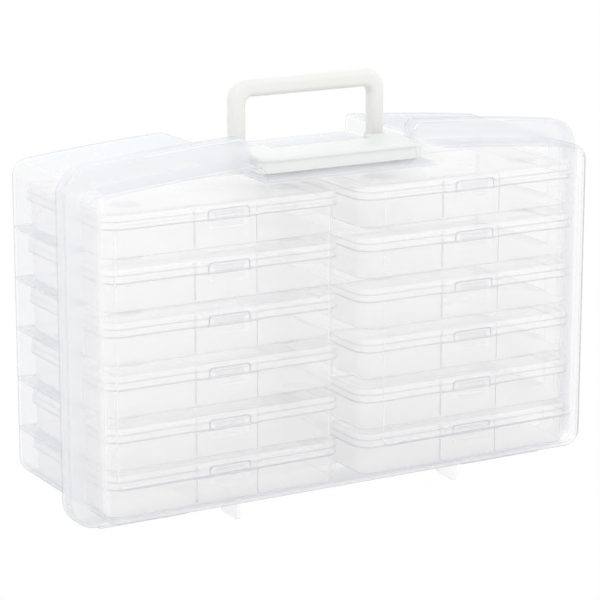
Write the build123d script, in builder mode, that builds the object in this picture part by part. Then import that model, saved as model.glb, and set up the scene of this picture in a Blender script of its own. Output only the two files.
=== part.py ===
from build123d import *
import os

os.makedirs("parts", exist_ok=True)

# Front shell and back shell of the outer case: X across, Y front to back, Z up from the feet
HALF_WIDTH = 174.2
BASE_Z = 11.9
WALL = 2.0
FRONT_Y = -65.0
BACK_Y = 65.0
CURVE = 0.00035
FRONT_CROWN_Z = 224.3
BACK_CROWN_Z = 226.0
FLOOR_Z = 212.8
FRONT_NOTCH = 61.5
BACK_NOTCH = 67.0
CORNER_R = 11.0
FRONT_MOUTH_R = 7.2
BACK_MOUTH_R = 3.4
ROOT_R = 1.5
FRONT_EDGE_R = 6.0
BACK_EDGE_R = 2.8

# Channel-shaped rim that runs round both shells where they meet
RIM_HALF = 184.4
RIM_BASE_Z = 3.0
RIM_CROWN_Z = 236.3
RIM_NOTCH = 58.4
RIM_CORNER_R = 18.0
RIM_MOUTH_R = 7.0
RIM_FRONT_Y = -36.0
RIM_BACK_Y = -22.0
RIM_EDGE_R = 2.2
PART_Y = -29.0
PART_GAP = 0.15

# Hinge under the rim
AXIS_Z = 2.8
KNUCKLE_R = 2.8
RELIEF_R = 3.3
PIN_R = 1.2
CLIP_BORE_R = 1.25
OUTER_KNUCKLE = (141.0, 163.0)
INNER_KNUCKLE = (103.0, 125.0)
CLIP = (125.4, 140.6)

# Fins that the case stands on
FIN_THICK = 2.2
FRONT_FIN_X = 80.0
BACK_FIN_X = 88.0
FRONT_FIN = (-56.6, -35.0)
BACK_FIN = (-23.0, 56.6)

# Shallow panels in the front face
PANEL_X = (19.4, 166.3)
PANEL_Z = (35.3, 196.0)
PANEL_R = 5.0
PANEL_DEPTH = 0.8

# Inner cases: two columns of six
COLUMN_X = 88.2
TRAY_BASES = (174.1, 141.5, 108.9, 76.3, 43.7, 14.2)
LID_SIZE = (163.6, 119.0)
LID_R = 12.0
LID_SKIRT_Z = 18.3
CASE_H = 27.7
LID_WALL = 1.3
TRAY_SIZE = (158.4, 113.7)
TRAY_R = 9.5
TRAY_WALL = 1.4
TRAY_TOP_Z = 26.38
TAB_WIDE = 42.6
TAB_OUT = 1.5
TRAY_FRONT_OUT = 1.0

# Catch on each lid: a plate that hangs over the tray and snaps on its nose
CATCH_WIDE = 28.8
CATCH_Z = (13.0, 25.6)
CATCH_Y = (-61.7, -60.2)
CATCH_R = 2.6
GRIP_SIZE = (20.0, 3.2)
GRIP_Z = 21.4
SLOT_Z = (14.2, 17.0)
SLOT_HALF = 10.0
NOSE_GAP = 0.4

# Round pads near the corners of each lid
PAD_X = 54.5
PAD_Y = 33.0
PAD_R = 9.5
PAD_RISE = 0.4

# Ledges in the back shell that carry the inner cases
LEDGE_THICK = 1.2
LEDGE_GAP = 0.3

# Handle
HANDLE_Y = -1.3
HANDLE_PIVOT_Z = 219.4
HANDLE_TOP_Z = 265.2
HANDLE_HALF = 55.5
HANDLE_INNER_HALF = 45.0
HANDLE_INNER_Z = 254.0
HANDLE_DEPTH = 10.0
HANDLE_CORNER_R = 13.0
HANDLE_INNER_R = 4.6
HANDLE_EDGE_R = 3.9
HANDLE_FORK_DEEP = 9.0
HANDLE_PIN_R = 2.0
HANDLE_BORE_R = 2.05
HANDLE_LUG = (48.4, 52.1)
HANDLE_LUG_R = 3.6

# Latch
LATCH_Y = -15.0
LATCH_PIVOT_Z = 217.5
LATCH_FRONT_Y = -48.0
LATCH_HALF = 57.9
LATCH_ARM = 36.0
LATCH_BACK_Y = -21.0
LATCH_TAIL_Y = -11.5
LATCH_LIP_Z = 213.9
LATCH_FRONT_TOP_Z = 223.5
LATCH_TAIL_TOP_Z = 225.0
LATCH_CORNER_R = 8.0
LATCH_EDGE_R = 1.6
LATCH_WALL = 2.2
LATCH_HOLLOW = 6.6
LATCH_BARREL_R = 4.2
LATCH_ARM_BASE_Z = 215.6
LATCH_ARM_FRONT_Y = -19.5
LATCH_PIN_R = 1.6
LATCH_BORE_R = 1.65
LATCH_STEP_Z = 221.3
LATCH_STEP = 0.8
LATCH_LUG = (44.4, 48.6)
LATCH_LUG_R = 3.0

# Room beside and round each lug
LUG_SIDE_GAP = 0.4
LUG_GAP = 0.5


def upright(y):
    """Plane across the case at this Y: sketch X is X, sketch Y is Z, extrusion runs to -Y."""
    return Plane(origin=(0, y, 0), x_dir=(1, 0, 0), z_dir=(0, -1, 0))


def outline(half, base, crown, notch, corner, mouth, inset):
    """Case outline with its bowed top and the notch for the handle, moved in by inset."""
    side = half - inset
    low = base + inset
    high = crown - CURVE * half**2 - inset
    middle = (half + notch) / 2
    bow = crown - CURVE * middle**2 - inset
    lip = crown - CURVE * notch**2 - inset
    well = notch + inset
    floor = FLOOR_Z - inset
    with BuildSketch() as face:
        with BuildLine():
            Polyline((-side, high), (-side, low), (side, low), (side, high))
            ThreePointArc((side, high), (middle, bow), (well, lip))
            Polyline((well, lip), (well, floor), (-well, floor), (-well, lip))
            ThreePointArc((-well, lip), (-middle, bow), (-side, high))
        make_face()
        outer = [v for v in face.vertices() if abs(abs(v.X) - side) < 0.01]
        fillet(outer, corner - inset)
        brow = [v for v in face.vertices() if abs(abs(v.X) - well) < 0.01 and v.Y > floor + 1]
        fillet(brow, mouth - inset)
        root = [v for v in face.vertices() if abs(abs(v.X) - well) < 0.01 and v.Y < floor + 0.01]
        fillet(root, ROOT_R + inset)
    return face.sketch


def slab(shape, front, back):
    """The outline made into a block from front to back."""
    with BuildPart() as block:
        with BuildSketch(upright(back)):
            add(shape)
        extrude(amount=back - front)
    return block.part


def front_block(inset, back):
    """Outside (inset 0) or inside of the front shell, with its rounded front edge."""
    shape = outline(HALF_WIDTH, BASE_Z, FRONT_CROWN_Z, FRONT_NOTCH, CORNER_R, FRONT_MOUTH_R, inset)
    with BuildPart() as block:
        add(slab(shape, FRONT_Y + inset, back))
        fillet(block.edges().group_by(Axis.Y)[0], FRONT_EDGE_R - inset)
    return block.part


def back_block(inset, front):
    """Outside (inset 0) or inside of the back shell, with its rounded back edge."""
    shape = outline(HALF_WIDTH, BASE_Z, BACK_CROWN_Z, BACK_NOTCH, CORNER_R, BACK_MOUTH_R, inset)
    with BuildPart() as block:
        add(slab(shape, front, BACK_Y - inset))
        fillet(block.edges().group_by(Axis.Y)[-1], BACK_EDGE_R - inset)
    return block.part


def rim_block(inset, front, back, which):
    """Outside or inside of one half of the rim; which picks the group of edges to round."""
    shape = outline(RIM_HALF, RIM_BASE_Z, RIM_CROWN_Z, RIM_NOTCH, RIM_CORNER_R, RIM_MOUTH_R, inset)
    with BuildPart() as block:
        add(slab(shape, front, back))
        if which is not None:
            fillet(block.edges().group_by(Axis.Y)[which], RIM_EDGE_R)
    return block.part


def rod(radius, y, z, x_from, x_to):
    """Round bar along X."""
    with BuildPart() as bar:
        with BuildSketch(Plane(origin=(x_from, y, z), x_dir=(0, 1, 0), z_dir=(1, 0, 0))):
            Circle(radius)
        extrude(amount=x_to - x_from)
    return bar.part


def bar_box(x, y, z):
    """Box from its ranges along X, Y and Z."""
    with BuildPart() as box:
        with Locations(((x[0] + x[1]) / 2, (y[0] + y[1]) / 2, (z[0] + z[1]) / 2)):
            Box(x[1] - x[0], y[1] - y[0], z[1] - z[0])
    return box.part


def span(side, pair):
    """A range along X mirrored to the given side, low end first."""
    return tuple(sorted((side * pair[0], side * pair[1])))


def fin(x, y):
    """Foot plate with rounded tips."""
    with BuildPart() as plate:
        with BuildSketch(Plane(origin=(x - FIN_THICK / 2, 0, 0), x_dir=(0, 1, 0), z_dir=(1, 0, 0))) as side:
            with Locations(((y[0] + y[1]) / 2, (BASE_Z + 1) / 2)):
                Rectangle(y[1] - y[0], BASE_Z + 1)
            fillet(side.vertices().group_by(Axis.Y)[0], 3.0)
        extrude(amount=FIN_THICK)
    return plate.part


def lug(side, pair, radius, bore, y, z):
    """Upright ear with a round top and a bore that a pivot pin turns in."""
    low, high = span(side, pair)
    with BuildPart() as ear:
        add(rod(radius, y, z, low, high))
        add(bar_box((low, high), (y - radius, y + radius), (FLOOR_Z - 0.5, z)))
        add(rod(bore, y, z, low - 1, high + 1), mode=Mode.SUBTRACT)
        slot = 0.8 * bore
        add(bar_box((low - 1, high + 1), (y, y + radius + 1), (z - slot, z + slot)), mode=Mode.SUBTRACT)
    return ear.part


def make_front_shell():
    with BuildPart() as shell:
        add(front_block(0, RIM_FRONT_Y + 1))
        add(rim_block(0, RIM_FRONT_Y, PART_Y - PART_GAP, 0))
        add(front_block(WALL, RIM_FRONT_Y + WALL + 0.5), mode=Mode.SUBTRACT)
        add(rim_block(WALL, RIM_FRONT_Y + WALL, PART_Y + 1, None), mode=Mode.SUBTRACT)
        for side in (-1, 1):
            with BuildSketch(upright(FRONT_Y)):
                with Locations((side * sum(PANEL_X) / 2, sum(PANEL_Z) / 2)):
                    RectangleRounded(PANEL_X[1] - PANEL_X[0], PANEL_Z[1] - PANEL_Z[0], PANEL_R)
            extrude(amount=-PANEL_DEPTH, mode=Mode.SUBTRACT)
            add(fin(side * FRONT_FIN_X, FRONT_FIN))
        # room for the back shell's clips
        for side in (-1, 1):
            clip = span(side, (CLIP[0] - 0.4, CLIP[1] + 0.4))
            add(rod(RELIEF_R, PART_Y, AXIS_Z, clip[0], clip[1]), mode=Mode.SUBTRACT)
        # two knuckles a side with the pin moulded between them
        for side in (-1, 1):
            for pair in (OUTER_KNUCKLE, INNER_KNUCKLE):
                low, high = span(side, pair)
                add(rod(KNUCKLE_R, PART_Y, AXIS_Z, low, high))
                add(bar_box((low, high), (PART_Y - KNUCKLE_R, PART_Y - PART_GAP), (AXIS_Z, RIM_BASE_Z + 1.5)))
            low, high = span(side, (INNER_KNUCKLE[1] - 1, OUTER_KNUCKLE[0] + 1))
            add(rod(PIN_R, PART_Y, AXIS_Z, low, high))
        # low ridge behind the latch's lip
        add(bar_box((-52, 52), (-45.1, -43.6), (FLOOR_Z - 0.5, FLOOR_Z + 0.7)))
    return shell.part


def make_back_shell():
    with BuildPart() as shell:
        add(back_block(0, RIM_BACK_Y - 1))
        add(rim_block(0, PART_Y + PART_GAP, RIM_BACK_Y, -1))
        add(back_block(WALL, RIM_BACK_Y - WALL - 0.5), mode=Mode.SUBTRACT)
        add(rim_block(WALL, PART_Y - 1, RIM_BACK_Y - WALL, None), mode=Mode.SUBTRACT)
        for side in (-1, 1):
            add(fin(side * BACK_FIN_X, BACK_FIN))
        # room for the front shell's knuckles
        for side in (-1, 1):
            for pair in (OUTER_KNUCKLE, INNER_KNUCKLE):
                low, high = span(side, (pair[0] - 0.4, pair[1] + 0.4))
                add(rod(RELIEF_R, PART_Y, AXIS_Z, low, high), mode=Mode.SUBTRACT)
        # a clip a side, open below so that it snaps on to the pin
        for side in (-1, 1):
            low, high = span(side, CLIP)
            add(rod(KNUCKLE_R, PART_Y, AXIS_Z, low, high))
            add(bar_box((low, high), (PART_Y + PART_GAP, PART_Y + KNUCKLE_R), (AXIS_Z, RIM_BASE_Z + 1.5)))
            add(rod(CLIP_BORE_R, PART_Y, AXIS_Z, low - 1, high + 1), mode=Mode.SUBTRACT)
            add(bar_box((low - 1, high + 1), (PART_Y - 1, PART_Y + 1), (-1, AXIS_Z)), mode=Mode.SUBTRACT)
        # ledges on the side walls and on a rib up the middle of the back wall
        for base in TRAY_BASES[:-1]:
            top = base - LEDGE_GAP
            for side in (-1, 1):
                wing = span(side, (164.0, HALF_WIDTH - 1))
                add(bar_box(wing, (-20, BACK_Y - WALL + 0.5), (top - LEDGE_THICK, top)))
            add(bar_box((-14, 14), (23, BACK_Y - WALL + 0.5), (top - LEDGE_THICK, top)))
        add(bar_box((-1, 1), (23, BACK_Y - WALL + 0.5), (BASE_Z + 1, 190)))
        # lugs on the notch floor for the handle and the latch, each open behind so that it snaps on
        for side in (-1, 1):
            add(lug(side, HANDLE_LUG, HANDLE_LUG_R, HANDLE_BORE_R, HANDLE_Y, HANDLE_PIVOT_Z))
            add(lug(side, LATCH_LUG, LATCH_LUG_R, LATCH_BORE_R, LATCH_Y, LATCH_PIVOT_Z))
    return shell.part


def make_tray(x, base):
    with BuildPart() as tray:
        with BuildSketch(Plane.XY.offset(base)):
            with Locations((x, 0)):
                RectangleRounded(TRAY_SIZE[0], TRAY_SIZE[1], TRAY_R)
        extrude(amount=TRAY_TOP_Z)
        fillet(tray.edges().group_by(Axis.Z)[0], 2.4)
        with BuildSketch(Plane.XY.offset(base + TRAY_WALL)):
            with Locations((x, 0)):
                RectangleRounded(TRAY_SIZE[0] - 2 * TRAY_WALL, TRAY_SIZE[1] - 2 * TRAY_WALL, TRAY_R - TRAY_WALL)
        extrude(amount=TRAY_TOP_Z, mode=Mode.SUBTRACT)
        # the middle of the front stands out, and carries the nose for the lid's catch
        front = -TRAY_SIZE[1] / 2
        half = TAB_WIDE / 2
        step = front - TRAY_FRONT_OUT
        add(bar_box((x - half, x + half), (step, front + 0.7), (base + 2.4, base + TRAY_TOP_Z)))
        half = SLOT_HALF - NOSE_GAP
        nose = (base + SLOT_Z[0] + NOSE_GAP, base + SLOT_Z[1] - NOSE_GAP)
        add(bar_box((x - half, x + half), (CATCH_Y[0] + 0.8, step + 0.1), nose))
    return tray.part


def make_lid(x, base):
    front = -LID_SIZE[1] / 2
    with BuildPart() as lid:
        with BuildSketch(Plane.XY.offset(base + LID_SKIRT_Z)):
            with Locations((x, 0)):
                RectangleRounded(LID_SIZE[0], LID_SIZE[1], LID_R)
        extrude(amount=CASE_H - LID_SKIRT_Z - 4.4)
        with BuildSketch(Plane.XY.offset(base + CASE_H - 4.4)):
            with Locations((x, 0)):
                RectangleRounded(LID_SIZE[0] - 1.2, LID_SIZE[1] - 1.2, LID_R - 0.6)
        extrude(amount=4.4)
        # the front stands out over the tab
        tab_low = base + LID_SKIRT_Z
        add(bar_box((x - TAB_WIDE / 2, x + TAB_WIDE / 2), (front - TAB_OUT, front + 3), (tab_low, base + CASE_H - 1.2)))
        fillet(lid.edges().group_by(Axis.Z)[-1], 1.0)
        with BuildSketch(Plane.XY.offset(base + LID_SKIRT_Z)):
            with Locations((x, 0)):
                RectangleRounded(LID_SIZE[0] - 2 * LID_WALL, LID_SIZE[1] - 2 * LID_WALL, LID_R - LID_WALL)
        extrude(amount=CASE_H - LID_SKIRT_Z - LID_WALL, mode=Mode.SUBTRACT)
        # shallow panel in the top leaves a raised border
        with BuildSketch(Plane.XY.offset(base + CASE_H)):
            with Locations((x, 0)):
                RectangleRounded(LID_SIZE[0] - 14, LID_SIZE[1] - 14, LID_R - 5)
        extrude(amount=-0.5, mode=Mode.SUBTRACT)
        with BuildSketch(Plane.XY.offset(base + CASE_H - 0.5)):
            with Locations((x, 0)):
                with GridLocations(2 * PAD_X, 2 * PAD_Y, 2, 2):
                    Circle(PAD_R)
        extrude(amount=PAD_RISE)
        # catch plate with a grip groove and the slot that takes the tray's nose
        with BuildSketch(upright(CATCH_Y[1])):
            with Locations((x, base + sum(CATCH_Z) / 2)):
                RectangleRounded(CATCH_WIDE, CATCH_Z[1] - CATCH_Z[0], CATCH_R)
        extrude(amount=CATCH_Y[1] - CATCH_Y[0])
        with BuildSketch(upright(CATCH_Y[0])):
            with Locations((x, base + GRIP_Z)):
                SlotOverall(*GRIP_SIZE)
        extrude(amount=-0.8, mode=Mode.SUBTRACT)
        slot = (base + SLOT_Z[0], base + SLOT_Z[1])
        add(bar_box((x - SLOT_HALF, x + SLOT_HALF), (CATCH_Y[0] - 1, CATCH_Y[1] + 1), slot), mode=Mode.SUBTRACT)
    return lid.part


def make_handle():
    with BuildPart() as handle:
        with BuildSketch(upright(HANDLE_Y + HANDLE_DEPTH / 2)) as bow:
            with BuildLine():
                Polyline(
                    (-HANDLE_HALF, HANDLE_PIVOT_Z), (-HANDLE_HALF, HANDLE_TOP_Z),
                    (HANDLE_HALF, HANDLE_TOP_Z), (HANDLE_HALF, HANDLE_PIVOT_Z),
                    (HANDLE_INNER_HALF, HANDLE_PIVOT_Z), (HANDLE_INNER_HALF, HANDLE_INNER_Z),
                    (-HANDLE_INNER_HALF, HANDLE_INNER_Z), (-HANDLE_INNER_HALF, HANDLE_PIVOT_Z),
                    close=True,
                )
            make_face()
            fillet(bow.vertices().group_by(Axis.Y)[-1], HANDLE_CORNER_R)
            fillet([v for v in bow.vertices() if abs(v.Y - HANDLE_INNER_Z) < 0.01], HANDLE_INNER_R)
        extrude(amount=HANDLE_DEPTH)
        long_edges = handle.edges().filter_by(lambda e: e.center().Z > HANDLE_PIVOT_Z + 1)
        fillet(long_edges, HANDLE_EDGE_R)
        # forked feet with a pin across each fork
        for side in (-1, 1):
            low, high = span(side, (HANDLE_INNER_HALF, HANDLE_HALF))
            add(rod(HANDLE_DEPTH / 2, HANDLE_Y, HANDLE_PIVOT_Z, low, high))
            low, high = span(side, (HANDLE_LUG[0] - LUG_SIDE_GAP, HANDLE_LUG[1] + LUG_SIDE_GAP))
            fork = (HANDLE_PIVOT_Z - HANDLE_FORK_DEEP, HANDLE_PIVOT_Z + HANDLE_LUG_R + LUG_GAP)
            add(bar_box((low, high), (HANDLE_Y - HANDLE_DEPTH, HANDLE_Y + HANDLE_DEPTH), fork), mode=Mode.SUBTRACT)
            add(rod(HANDLE_PIN_R, HANDLE_Y, HANDLE_PIVOT_Z, low - 1, high + 1))
    return handle.part


def make_latch():
    depth = LATCH_TAIL_Y - LATCH_FRONT_Y
    middle = (LATCH_TAIL_Y + LATCH_FRONT_Y) / 2
    with BuildPart() as latch:
        with BuildSketch(Plane.XY.offset(LATCH_LIP_Z)) as plan:
            with Locations((0, middle)):
                Rectangle(2 * LATCH_HALF, depth)
            fillet(plan.vertices().group_by(Axis.Y)[0], LATCH_CORNER_R)
            with Locations((0, LATCH_BACK_Y + 10)):
                Rectangle(2 * LATCH_ARM, 20, mode=Mode.SUBTRACT)
        extrude(amount=20)
        # sloping top
        with BuildSketch(Plane(origin=(-LATCH_HALF - 1, 0, 0), x_dir=(0, 1, 0), z_dir=(1, 0, 0))):
            with BuildLine():
                Polyline(
                    (LATCH_FRONT_Y - 1, LATCH_FRONT_TOP_Z), (LATCH_TAIL_Y + 1, LATCH_TAIL_TOP_Z),
                    (LATCH_TAIL_Y + 1, 240), (LATCH_FRONT_Y - 1, 240), close=True,
                )
            make_face()
        extrude(amount=2 * LATCH_HALF + 2, mode=Mode.SUBTRACT)
        fillet(latch.faces().sort_by(Axis.Z)[-1].edges(), LATCH_EDGE_R)
        # below the top plate the front and the ends are set back
        with BuildSketch(Plane.XY.offset(LATCH_LIP_Z)) as band:
            with Locations((0, middle)):
                Rectangle(2 * LATCH_HALF + 2, depth + 2)
            with Locations((0, middle + LATCH_STEP / 2)):
                Rectangle(2 * LATCH_HALF - 2 * LATCH_STEP, depth - LATCH_STEP, mode=Mode.SUBTRACT)
            inner = [v for v in band.vertices() if abs(abs(v.X) - LATCH_HALF + LATCH_STEP) < 0.01]
            fillet([v for v in inner if v.Y < middle], LATCH_CORNER_R - LATCH_STEP)
            with Locations((0, LATCH_TAIL_Y + 5)):
                Rectangle(2 * LATCH_HALF + 4, 10, mode=Mode.SUBTRACT)
        extrude(amount=LATCH_STEP_Z - LATCH_LIP_Z, mode=Mode.SUBTRACT)
        # hollow underneath, with a wall all round
        with BuildSketch(Plane.XY.offset(LATCH_LIP_Z)) as hollow:
            with Locations((0, middle)):
                Rectangle(2 * (LATCH_HALF - LATCH_WALL), depth - 2 * LATCH_WALL)
            fillet(hollow.vertices().group_by(Axis.Y)[0], LATCH_CORNER_R - LATCH_WALL)
            with Locations((0, LATCH_BACK_Y - LATCH_WALL + 10)):
                Rectangle(2 * (LATCH_ARM + LATCH_WALL), 20, mode=Mode.SUBTRACT)
        extrude(amount=LATCH_HOLLOW, mode=Mode.SUBTRACT)
        under_arms = (LATCH_LIP_Z - 1, LATCH_ARM_BASE_Z)
        full = (-LATCH_HALF - 1, LATCH_HALF + 1)
        add(bar_box(full, (LATCH_ARM_FRONT_Y, LATCH_TAIL_Y + 1), under_arms), mode=Mode.SUBTRACT)
        # barrels cut away round the lugs, with a pin across each gap
        for side in (-1, 1):
            low, high = span(side, (LATCH_ARM, LATCH_HALF))
            add(rod(LATCH_BARREL_R, LATCH_Y, LATCH_PIVOT_Z, low, high))
            low, high = span(side, (LATCH_LUG[0] - LUG_SIDE_GAP, LATCH_LUG[1] + LUG_SIDE_GAP))
            reach = LATCH_LUG_R + LUG_GAP
            add(rod(reach, LATCH_Y, LATCH_PIVOT_Z, low, high), mode=Mode.SUBTRACT)
            below = (FLOOR_Z, LATCH_PIVOT_Z)
            pocket = (LATCH_Y - reach, LATCH_TAIL_Y + 1)
            add(bar_box((low, high), pocket, below), mode=Mode.SUBTRACT)
            beside = (FLOOR_Z, LATCH_PIVOT_Z + reach)
            add(bar_box((low, high), (LATCH_Y, LATCH_TAIL_Y + 1), beside), mode=Mode.SUBTRACT)
            add(rod(LATCH_PIN_R, LATCH_Y, LATCH_PIVOT_Z, low - 1, high + 1))
    return latch.part


pieces = {
    "back_shell": make_back_shell(),
    "front_shell": make_front_shell(),
    "handle": make_handle(),
    "latch": make_latch(),
}
for column, x in (("left", -COLUMN_X), ("right", COLUMN_X)):
    for row, base in enumerate(TRAY_BASES, start=1):
        pieces[f"tray_{column}_{row}"] = make_tray(x, base)
        pieces[f"lid_{column}_{row}"] = make_lid(x, base)

for name, solid in pieces.items():
    solid.label = name
    export_step(solid, f"parts/{name}.step")
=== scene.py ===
import bpy
import math
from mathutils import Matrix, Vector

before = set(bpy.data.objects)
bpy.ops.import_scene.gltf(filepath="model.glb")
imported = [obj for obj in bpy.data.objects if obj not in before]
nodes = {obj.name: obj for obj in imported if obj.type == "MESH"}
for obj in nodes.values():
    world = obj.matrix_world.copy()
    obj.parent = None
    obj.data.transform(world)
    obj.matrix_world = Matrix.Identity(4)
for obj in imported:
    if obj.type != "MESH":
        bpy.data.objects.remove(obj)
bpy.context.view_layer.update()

# ---- Studio: camera, light and white surroundings ----
# A long lens looks down a little from the front left. Soft light comes from above and from both
# sides, and everything round the case is white, as on a product table.
camera_data = bpy.data.cameras.new("camera")
camera_data.lens = 154.7
camera_data.sensor_width = 36.0
camera_data.clip_start = 0.05
camera_data.clip_end = 60.0
camera = bpy.data.objects.new("camera", camera_data)
camera.location = (-0.8026, -1.3924, 0.5133)
camera.rotation_euler = (math.radians(76.2), 0.0, math.radians(-29.84))
bpy.context.scene.collection.objects.link(camera)
bpy.context.scene.camera = camera
bpy.context.scene.view_settings.view_transform = "Standard"
# a look through the case crosses many thin clear walls, which light up well in two bounces
bpy.context.scene.cycles.transparent_max_bounces = 32
bpy.context.scene.cycles.diffuse_bounces = 2


class Tree:
    """Adds nodes to a material or world by type, with settings first and then sockets."""

    def __init__(self, tree):
        self.tree = tree
        tree.nodes.clear()

    def node(self, kind, settings=None, **sockets):
        made = self.tree.nodes.new(kind)
        for key, value in (settings or {}).items():
            setattr(made, key, value)
        for key, value in sockets.items():
            numbered = key[0] == "i" and key[1:].isdigit()
            target = made.inputs[int(key[1:]) if numbered else key.replace("_", " ")]
            if isinstance(value, Value):
                value = value.socket
            if isinstance(value, bpy.types.NodeSocket):
                self.tree.links.new(value, target)
            else:
                target.default_value = value
        return made

    def value(self, socket):
        return Value(self, socket)

    def blend(self, share, first, second):
        """Mix of two colours."""
        made = self.node("ShaderNodeMix", {"data_type": "RGBA"}, i0=share, i6=first, i7=second)
        return made.outputs[2]


class Value:
    """A number in a node tree, so that shader maths reads as an expression."""

    def __init__(self, tree, socket):
        self.tree = tree
        self.socket = socket

    def math(self, operation, first, second=0.0):
        made = self.tree.node("ShaderNodeMath", {"operation": operation}, i0=first, i1=second)
        return Value(self.tree, made.outputs[0])

    def __add__(self, other):
        return self.math("ADD", self, other)

    def __radd__(self, other):
        return self.math("ADD", other, self)

    def __sub__(self, other):
        return self.math("SUBTRACT", self, other)

    def __rsub__(self, other):
        return self.math("SUBTRACT", other, self)

    def __mul__(self, other):
        return self.math("MULTIPLY", self, other)

    def __rmul__(self, other):
        return self.math("MULTIPLY", other, self)

    def __pow__(self, other):
        return self.math("POWER", self, other)

    def __mod__(self, other):
        return self.math("FLOORED_MODULO", self, other)

    def __abs__(self):
        return self.math("ABSOLUTE", self)

    def most(self, other):
        return self.math("MAXIMUM", self, other)

    def least(self, other):
        return self.math("MINIMUM", self, other)

    def above(self, low, high):
        """0 below low, 1 above high, smooth between."""
        made = self.tree.node(
            "ShaderNodeMapRange", {"interpolation_type": "SMOOTHSTEP"},
            Value=self, From_Min=low, From_Max=high, To_Min=0.0, To_Max=1.0,
        )
        return Value(self.tree, made.outputs[0])

    def below(self, low, high):
        """1 below low, 0 above high, smooth between."""
        return 1.0 - self.above(low, high)

    def within(self, low, high, soft):
        """1 from low to high, falling to 0 over soft on each side."""
        return self.above(low - soft, low) * self.below(high, high + soft)


WHITE = (1.0, 1.0, 1.0, 1.0)
SKY_LIGHT = 0.95
world = bpy.data.worlds.new("white")
bpy.context.scene.world = world
world.use_nodes = True
sky = Tree(world.node_tree)
path = sky.node("ShaderNodeLightPath")
shown = sky.value(path.outputs["Is Camera Ray"]).most(path.outputs["Is Glossy Ray"])
shown = shown.most(path.outputs["Is Transmission Ray"])
air = sky.node("ShaderNodeBackground", Color=WHITE, Strength=shown * (1.0 - SKY_LIGHT) + SKY_LIGHT)
sky.node("ShaderNodeOutputWorld", Surface=air.outputs[0])

CASE_MIDDLE = (0.0, 0.0, 0.12)


def lamp(name, place, size, watts):
    """Square softbox that faces the middle of the case."""
    data = bpy.data.lights.new(name, "AREA")
    data.shape = "SQUARE"
    data.size = size
    data.energy = watts
    made = bpy.data.objects.new(name, data)
    made.location = place
    gaze = Vector(CASE_MIDDLE) - Vector(place)
    made.rotation_euler = gaze.to_track_quat("-Z", "Y").to_euler()
    bpy.context.scene.collection.objects.link(made)


lamp("key", place=(-1.3, -1.5, 1.9), size=1.4, watts=8.5)
lamp("fill", place=(1.8, -0.9, 1.0), size=1.6, watts=5.0)
lamp("back", place=(0.4, 1.9, 1.4), size=1.6, watts=4.5)

# The floor is plain white and keeps only the faint shadow of the case. The camera looks through it
# at the white round it, so that the front still shows where it swings below the feet.
FLOOR_REACH = 12.0
FLOOR_CLEAR = 0.98
FLOOR_SIGNS = ((-1.0, -1.0), (1.0, -1.0), (1.0, 1.0), (-1.0, 1.0))
floor_mesh = bpy.data.meshes.new("floor")
corners = [(FLOOR_REACH * x, FLOOR_REACH * y, 0.0) for x, y in FLOOR_SIGNS]
floor_mesh.from_pydata(corners, [], [(0, 1, 2, 3)])
floor = bpy.data.objects.new("floor", floor_mesh)
bpy.context.scene.collection.objects.link(floor)
floor_material = bpy.data.materials.new("floor")
floor_material.use_nodes = True
ground = Tree(floor_material.node_tree)
path = ground.node("ShaderNodeLightPath")
matt = ground.node("ShaderNodeBsdfDiffuse", Color=(0.9, 0.9, 0.9, 1.0))
clear = ground.node("ShaderNodeBsdfTransparent", Color=WHITE)
seen = ground.value(path.outputs["Is Camera Ray"])
ground_mix = ground.node(
    "ShaderNodeMixShader", Fac=seen * FLOOR_CLEAR, i1=matt.outputs[0], i2=clear.outputs[0],
)
ground.node("ShaderNodeOutputMaterial", Surface=ground_mix.outputs[0])
floor_mesh.materials.append(floor_material)


# ---- Outer case: two shells of clear polypropylene ----
# Injection-moulded, clear with a faint milky haze, and polished in the two front panels. Steps and
# edges carry thin painted shade lines and painted highlight lines, and the ledges painted shade.
# the grey of the painted shade lines along edges, steps and grooves
SHADE_LINE_GREY = (0.4, 0.42, 0.47, 1.0)
# how far a wall is turned away when it looks milky and is painted a darker shade, and when it is
# seen edge-on and painted with a dark shade line
MILKY_FACING = (0.35, 0.95)
EDGE_ON_FACING = (0.86, 0.985)
# how solid each mask makes the wall where it is 1: painted shade line, painted highlight, haze
SHADE_LINE_SOLID = 0.6
GLINT_SOLID = 0.5
HAZE_SOLID = 0.4
LIGHT_SENT_ON = 0.85


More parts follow.
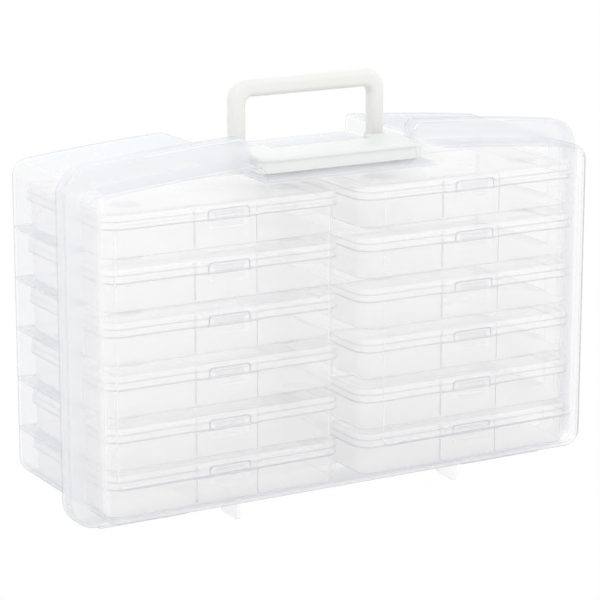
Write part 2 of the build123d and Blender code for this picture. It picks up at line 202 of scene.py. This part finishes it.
def clear_plastic(name, haze, edge, tint, edge_tint, roughness, grain, marks):
    """Hazy clear moulding. Its alpha rises as the surface turns away, where its colour goes to a
    painted shade; marks gives three masks from the place in millimetres: painted shade lines,
    painted highlights, and thicker haze."""
    material = bpy.data.materials.new(name)
    material.use_nodes = True
    tree = Tree(material.node_tree)
    place = tree.node("ShaderNodeTexCoord").outputs["Object"]
    parts = tree.node("ShaderNodeSeparateXYZ", Vector=place).outputs
    x, y, z = (1000.0 * tree.value(part) for part in parts)
    dark, painted_highlight, thick = marks(x, y, z)
    cloud = tree.node("ShaderNodeTexNoise", Vector=place, Scale=14.0, Detail=1.0, Roughness=0.5)
    cloud = tree.value(cloud.outputs[0])
    fine = tree.node("ShaderNodeTexNoise", Vector=place, Scale=grain, Detail=0.0)
    facing = tree.value(tree.node("ShaderNodeLayerWeight", Blend=0.5).outputs["Facing"])
    turned = facing.above(*MILKY_FACING)
    # a wall seen edge-on is painted with a dark shade line
    dark = dark.most(0.85 * facing.above(*EDGE_ON_FACING))
    # haze sends light on through a clear wall, so what lies behind it stays almost as bright
    path = tree.node("ShaderNodeLightPath").outputs
    lit = tree.value(path["Is Shadow Ray"]).most(path["Is Diffuse Ray"])
    veil = (haze + (edge - haze) * turned).most(HAZE_SOLID * thick)
    veil = veil.most(SHADE_LINE_SOLID * dark).most(GLINT_SOLID * painted_highlight)
    alpha = veil * (0.85 + 0.3 * cloud) * (1.0 - LIGHT_SENT_ON * lit)
    # painted shade on turned walls, a little of the same darker tint where the haze is thicker,
    # then the painted shade lines and painted highlights
    colour = tree.blend(turned.most(0.3 * thick), tint, edge_tint)
    colour = tree.blend(dark, colour, SHADE_LINE_GREY)
    colour = tree.blend(painted_highlight, colour, WHITE)
    bump = tree.node("ShaderNodeBump", Strength=0.05, Distance=0.001, Height=fine.outputs[0])
    surface = tree.node(
        "ShaderNodeBsdfPrincipled",
        Base_Color=colour, Roughness=roughness + 0.1 * cloud, Alpha=alpha,
        Specular_IOR_Level=0.6, Normal=bump.outputs[0],
    )
    tree.node("ShaderNodeOutputMaterial", Surface=surface.outputs[0])
    return material


def reach(first, second):
    """Distance from zero of a place with these two coordinates."""
    return (first ** 2.0 + second ** 2.0) ** 0.5


def round_box(across, along, half_across, half_along, radius):
    """Distance from the outline of a rounded rectangle round zero, less than 0 inside it."""
    side = abs(across) - (half_across - radius)
    end = abs(along) - (half_along - radius)
    return reach(side.most(0.0), end.most(0.0)) + side.most(end).least(0.0) - radius


# places in millimetres; one named for a skin lies a little inside the surface that it picks out
PANEL_MIDDLE = (92.85, 115.65)
PANEL_HALF = (73.45, 80.35)
PANEL_R = 5.0
PANEL_LOW_Z = (36.0, 38.0)
FRONT_SKIN_Y = -64.1
FRONT_EDGE_MIDDLE = (168.2, -59.0, 17.9)
FRONT_EDGE_SKIN_R = 5.2
FRONT_LOW_Z = (15.0, 18.0)
FRONT_RIGHT_X = (160.0, 164.0)
FRONT_LEFT_X = (-171.0, -169.0)
CROWN_SKIN_Z = 224.4
CROWN_BOW = 0.00035
SIDE_SKIN_X = 172.6
UNDERSIDE_SKIN_Z = 13.4
SIDE_X = (171.0, 174.0)
SIDE_Y = (-36.0, -35.0)
RIM_Y = (-36.2, -21.8)
RIM_SKIN_X = 182.6
RIM_SKIN_TOP_Z = 229.0
RIM_SKIN_BASE_Z = 6.0
LEDGE_BELOW_TRAY = 1.7
LEDGE_TOP = (1.5, 1.7)
LEDGE_FRONT_Y = (-21.0, -20.0)
LEDGES_FROM_Z = (41.0, 41.5)
LEDGES_TO_Z = (176.0, 177.0)
# from where to where each painted shade line or painted highlight runs over its edge
LOW_SHADE_Y = (-62.8, -59.6)
LOW_GLINT_Y = (-64.6, -63.2)
RIGHT_SHADE_Y = (-64.4, -60.0)
RIGHT_GLINT_X = (164.5, 168.5)
LEFT_GLINT_Y = (-62.6, -57.0)
BACK_SHADE_Y = (61.5, 64.4)
RIM_FRONT_SHADE_Y = (-35.6, -34.6)
RIM_BACK_SHADE_Y = (-24.4, -21.8)
RIM_GLINT_Y = (-35.6, -34.8)
# rows 1 to 5 of inner boxes repeat at one pitch above the base of row 5; row 6 sits closer
ROW_PITCH = 32.6
ROW_5_BASE = 43.7
ROW_6_BASE = 14.2


def shell_marks(x, y, z):
    """Painted shade lines and painted highlights along the front panels' borders and the edges of
    shells and rim; thicker haze round the panels, on rim, sides and ledges; painted shade on the
    ledges inside.
    """
    front = y.below(FRONT_SKIN_Y, FRONT_SKIN_Y + 0.5)
    panel = round_box(abs(x) - PANEL_MIDDLE[0], z - PANEL_MIDDLE[1], *PANEL_HALF, PANEL_R)
    low_end = z.below(*PANEL_LOW_Z)
    # the panels' borders: a painted shade line just outside, stronger at the low end, and a painted
    # highlight just inside
    shade_border = front * panel.within(0.1, 1.0, 0.4) * (0.25 + 0.35 * low_end)
    glint = front * panel.within(-1.1, -0.3, 0.3) * 0.55
    frosted = front * panel.above(0.0, 1.0)
    # the front edge ends in a thin painted shade line with a painted highlight beside it, below and
    # on the right, and the front left corner has a broader painted highlight
    under = z.below(*FRONT_LOW_Z)
    right = x.above(*FRONT_RIGHT_X) * (1.0 - under)
    edge_x, edge_y, edge_z = FRONT_EDGE_MIDDLE
    over = (x - edge_x).most(edge_z - z).most(0.0)
    skin = reach(over, (edge_y - y).most(0.0)).above(FRONT_EDGE_SKIN_R, FRONT_EDGE_SKIN_R + 0.4)
    edge = skin * (under * y.within(*LOW_SHADE_Y, 0.3) + right * y.within(*RIGHT_SHADE_Y, 0.3))
    shine = under * y.within(*LOW_GLINT_Y, 0.3) + right * x.within(*RIGHT_GLINT_X, 0.5) * front
    shine = shine.most(0.6 * x.below(*FRONT_LEFT_X) * y.within(*LEFT_GLINT_Y, 1.0))
    # the back shell has a painted shade line along its rear edge, and the rim one along each of its
    # own; the rim's top front edge has a painted highlight
    crown = (z + CROWN_BOW * x ** 2.0).above(CROWN_SKIN_Z, CROWN_SKIN_Z + 0.4)
    hull = abs(x).above(SIDE_SKIN_X, SIDE_SKIN_X + 0.4).most(crown)
    hull = hull.most(z.below(UNDERSIDE_SKIN_Z - 0.4, UNDERSIDE_SKIN_Z))
    back_edge_shade = hull * y.within(*BACK_SHADE_Y, 0.3)
    rim = y.within(*RIM_Y, 0.3)
    rim_top = z.above(RIM_SKIN_TOP_Z, RIM_SKIN_TOP_Z + 1.0)
    rim_skin = abs(x).above(RIM_SKIN_X, RIM_SKIN_X + 0.6).most(rim_top)
    rim_skin = rim_skin.most(z.below(RIM_SKIN_BASE_Z - 0.5, RIM_SKIN_BASE_Z))
    rim_edge_shade = 0.3 * y.within(*RIM_FRONT_SHADE_Y, 0.2) + 0.6 * y.within(*RIM_BACK_SHADE_Y, 0.3)
    shine = shine.most(rim_top * y.within(*RIM_GLINT_Y, 0.2))
    side = abs(x).above(*SIDE_X) * y.below(*SIDE_Y)
    # the ledges under each row are milkier, and painted with a little shade
    height = (z - (ROW_5_BASE - LEDGE_BELOW_TRAY)) % ROW_PITCH
    ledge = height.below(*LEDGE_TOP) * y.above(*LEDGE_FRONT_Y)
    ledge = ledge * z.above(*LEDGES_FROM_Z) * z.below(*LEDGES_TO_Z)
    dark = shade_border.most(0.9 * edge).most(0.6 * back_edge_shade).most(rim_edge_shade * rim_skin).most(0.4 * ledge)
    thick = (0.8 * rim).most(0.3 * frosted).most(ledge).most(0.8 * side)
    return dark, glint.most(0.9 * shine), thick


shell_plastic = clear_plastic(
    "case_clear", haze=0.06, edge=0.6, tint=(0.93, 0.93, 0.945, 1.0),
    edge_tint=(0.66, 0.675, 0.715, 1.0), roughness=0.16, grain=900.0, marks=shell_marks,
)
for name in ("back_shell", "front_shell"):
    for entry in nodes[name].material_slots:
        entry.material = shell_plastic


# ---- Inner boxes: trays and lids ----
# Thinner clear boxes, a little milkier than the outer case, stacked in two columns. Each lid drops
# over its tray and snaps on at the front.
COLUMN_X = 88.2
ROW_6_TOP = 42.6
# an outline is half its width, half its length and the radius of its corners
TRAY_OUTLINE = (79.2, 56.85, 9.5)
TRAY_BOTTOM_UP = (0.7, 1.3)
TRAY_RIM_UP = (25.6, 26.0)
TRAY_MIDDLE_HALF = 21.3
TRAY_MIDDLE_Y = (-57.0, -56.6)
LID_OUTLINE = (81.2, 58.9, 11.4)
LID_PANEL = (74.8, 52.5, 7.0)
LID_SKIRT_END_UP = (18.0, 18.2)
LID_SKIRT_LINE_UP = (18.9, 19.3)
LID_STEP_UP = (23.0, 23.5)
LID_GLINT_UP = (25.4, 26.6)
LID_TOP_UP = (26.9, 27.1)
PAD_ACROSS = 54.5
PAD_ALONG = 33.0
PAD_RADII = (9.0, 9.7)
CATCH_OUTLINE = (14.4, 6.3, 2.6)
CATCH_UP = 19.3
CATCH_FADE_UP = (14.0, 22.0)
CATCH_SKIN_Y = (-61.4, -61.2)
GRIP_OUTLINE = (10.0, 1.6, 1.6)
GRIP_UP = 21.4
GRIP_FLOOR_Y = (-60.4, -60.0)


def box_place(x, y, z):
    """Place in a box: across from its middle, along, and up from the tray's underside."""
    upper = z.above(ROW_6_TOP, ROW_6_TOP + 0.1)
    low = z - ROW_6_BASE
    high = (z - ROW_5_BASE + 1.0) % ROW_PITCH - 1.0
    return abs(x) - COLUMN_X, y, low + upper * (high - low)


def tray_marks(x, y, z):
    """Painted shade lines at the tray's bottom edge and the sides of its raised middle; a painted
    highlight and thicker haze at its rim.
    """
    across, along, up = box_place(x, y, z)
    bottom = up.below(*TRAY_BOTTOM_UP)
    rim = up.above(*TRAY_RIM_UP)
    wall = round_box(across, along, *TRAY_OUTLINE).above(-2.2, -1.8)
    step_shade = (abs(across) - TRAY_MIDDLE_HALF).within(-0.5, 0.5, 0.3) * along.below(*TRAY_MIDDLE_Y)
    return (0.6 * bottom * wall).most(0.7 * step_shade), 0.3 * rim, 0.5 * rim


def lid_marks(x, y, z):
    """Painted shade lines at the lid's skirt, step and top edge, the border on its top, and round
    its catch and in the groove inside it; darker, milkier pads on its top; a painted highlight
    below the top edge.
    """
    across, along, up = box_place(x, y, z)
    skirt_shade = up.above(*LID_SKIRT_END_UP) * up.below(*LID_SKIRT_LINE_UP)
    step_shade = up.within(*LID_STEP_UP, 0.2)
    top = up.above(*LID_TOP_UP)
    rim = top * round_box(across, along, *LID_OUTLINE).within(-1.3, -0.5, 0.3)
    shade_border = top * round_box(across, along, *LID_PANEL).within(-0.3, 0.5, 0.3)
    pad = top * reach(abs(across) - PAD_ACROSS, abs(along) - PAD_ALONG).below(*PAD_RADII)
    catch_shade = round_box(across, up - CATCH_UP, *CATCH_OUTLINE).within(-0.8, -0.1, 0.3)
    catch_shade = catch_shade * along.below(*CATCH_SKIN_Y) * up.above(*CATCH_FADE_UP)
    grip_shade = round_box(across, up - GRIP_UP, *GRIP_OUTLINE).below(0.0, 0.5)
    grip_shade = grip_shade * along.below(*GRIP_FLOOR_Y)
    dark = (0.7 * skirt_shade).most(0.6 * step_shade).most(0.6 * rim).most(0.4 * shade_border)
    dark = dark.most(0.6 * pad).most(catch_shade).most(0.5 * grip_shade)
    return dark, 0.5 * up.within(*LID_GLINT_UP, 0.3), 0.4 * pad


tray_plastic = clear_plastic(
    "tray_clear", haze=0.16, edge=0.5, tint=(0.97, 0.96, 0.96, 1.0),
    edge_tint=(0.82, 0.815, 0.83, 1.0), roughness=0.24, grain=1200.0, marks=tray_marks,
)
lid_plastic = clear_plastic(
    "lid_clear", haze=0.14, edge=0.32, tint=(0.97, 0.96, 0.96, 1.0),
    edge_tint=(0.86, 0.855, 0.87, 1.0), roughness=0.22, grain=1200.0, marks=lid_marks,
)
for name, node in nodes.items():
    for start, plastic in (("tray_", tray_plastic), ("lid_", lid_plastic)):
        if name.startswith(start):
            for entry in node.material_slots:
                entry.material = plastic


# ---- Handle and latch: solid white plastic ----
# Both are moulded with a satin surface, the handle in an opaque white and the latch in a slightly
# greyer one. They snap on to the lugs of the back shell.
def white_plastic(name, shade, light):
    """Satin moulding that drifts between two near whites."""
    material = bpy.data.materials.new(name)
    material.use_nodes = True
    tree = Tree(material.node_tree)
    place = tree.node("ShaderNodeTexCoord").outputs["Object"]
    cloud = tree.node("ShaderNodeTexNoise", Vector=place, Scale=30.0, Detail=2.0)
    cloud = tree.value(cloud.outputs[0])
    fine = tree.node("ShaderNodeTexNoise", Vector=place, Scale=1500.0, Detail=1.0)
    bump = tree.node("ShaderNodeBump", Strength=0.06, Distance=0.001, Height=fine.outputs[0])
    surface = tree.node(
        "ShaderNodeBsdfPrincipled",
        Base_Color=tree.blend(cloud, shade, light), Roughness=0.3 + 0.1 * cloud,
        Normal=bump.outputs[0],
    )
    tree.node("ShaderNodeOutputMaterial", Surface=surface.outputs[0])
    return material


handle_plastic = white_plastic("handle_white", (0.82, 0.825, 0.81, 1.0), (0.85, 0.85, 0.84, 1.0))
latch_plastic = white_plastic("latch_white", (0.79, 0.81, 0.795, 1.0), (0.81, 0.825, 0.815, 1.0))
for name, plastic in (("handle", handle_plastic), ("latch", latch_plastic)):
    for entry in nodes[name].material_slots:
        entry.material = plastic
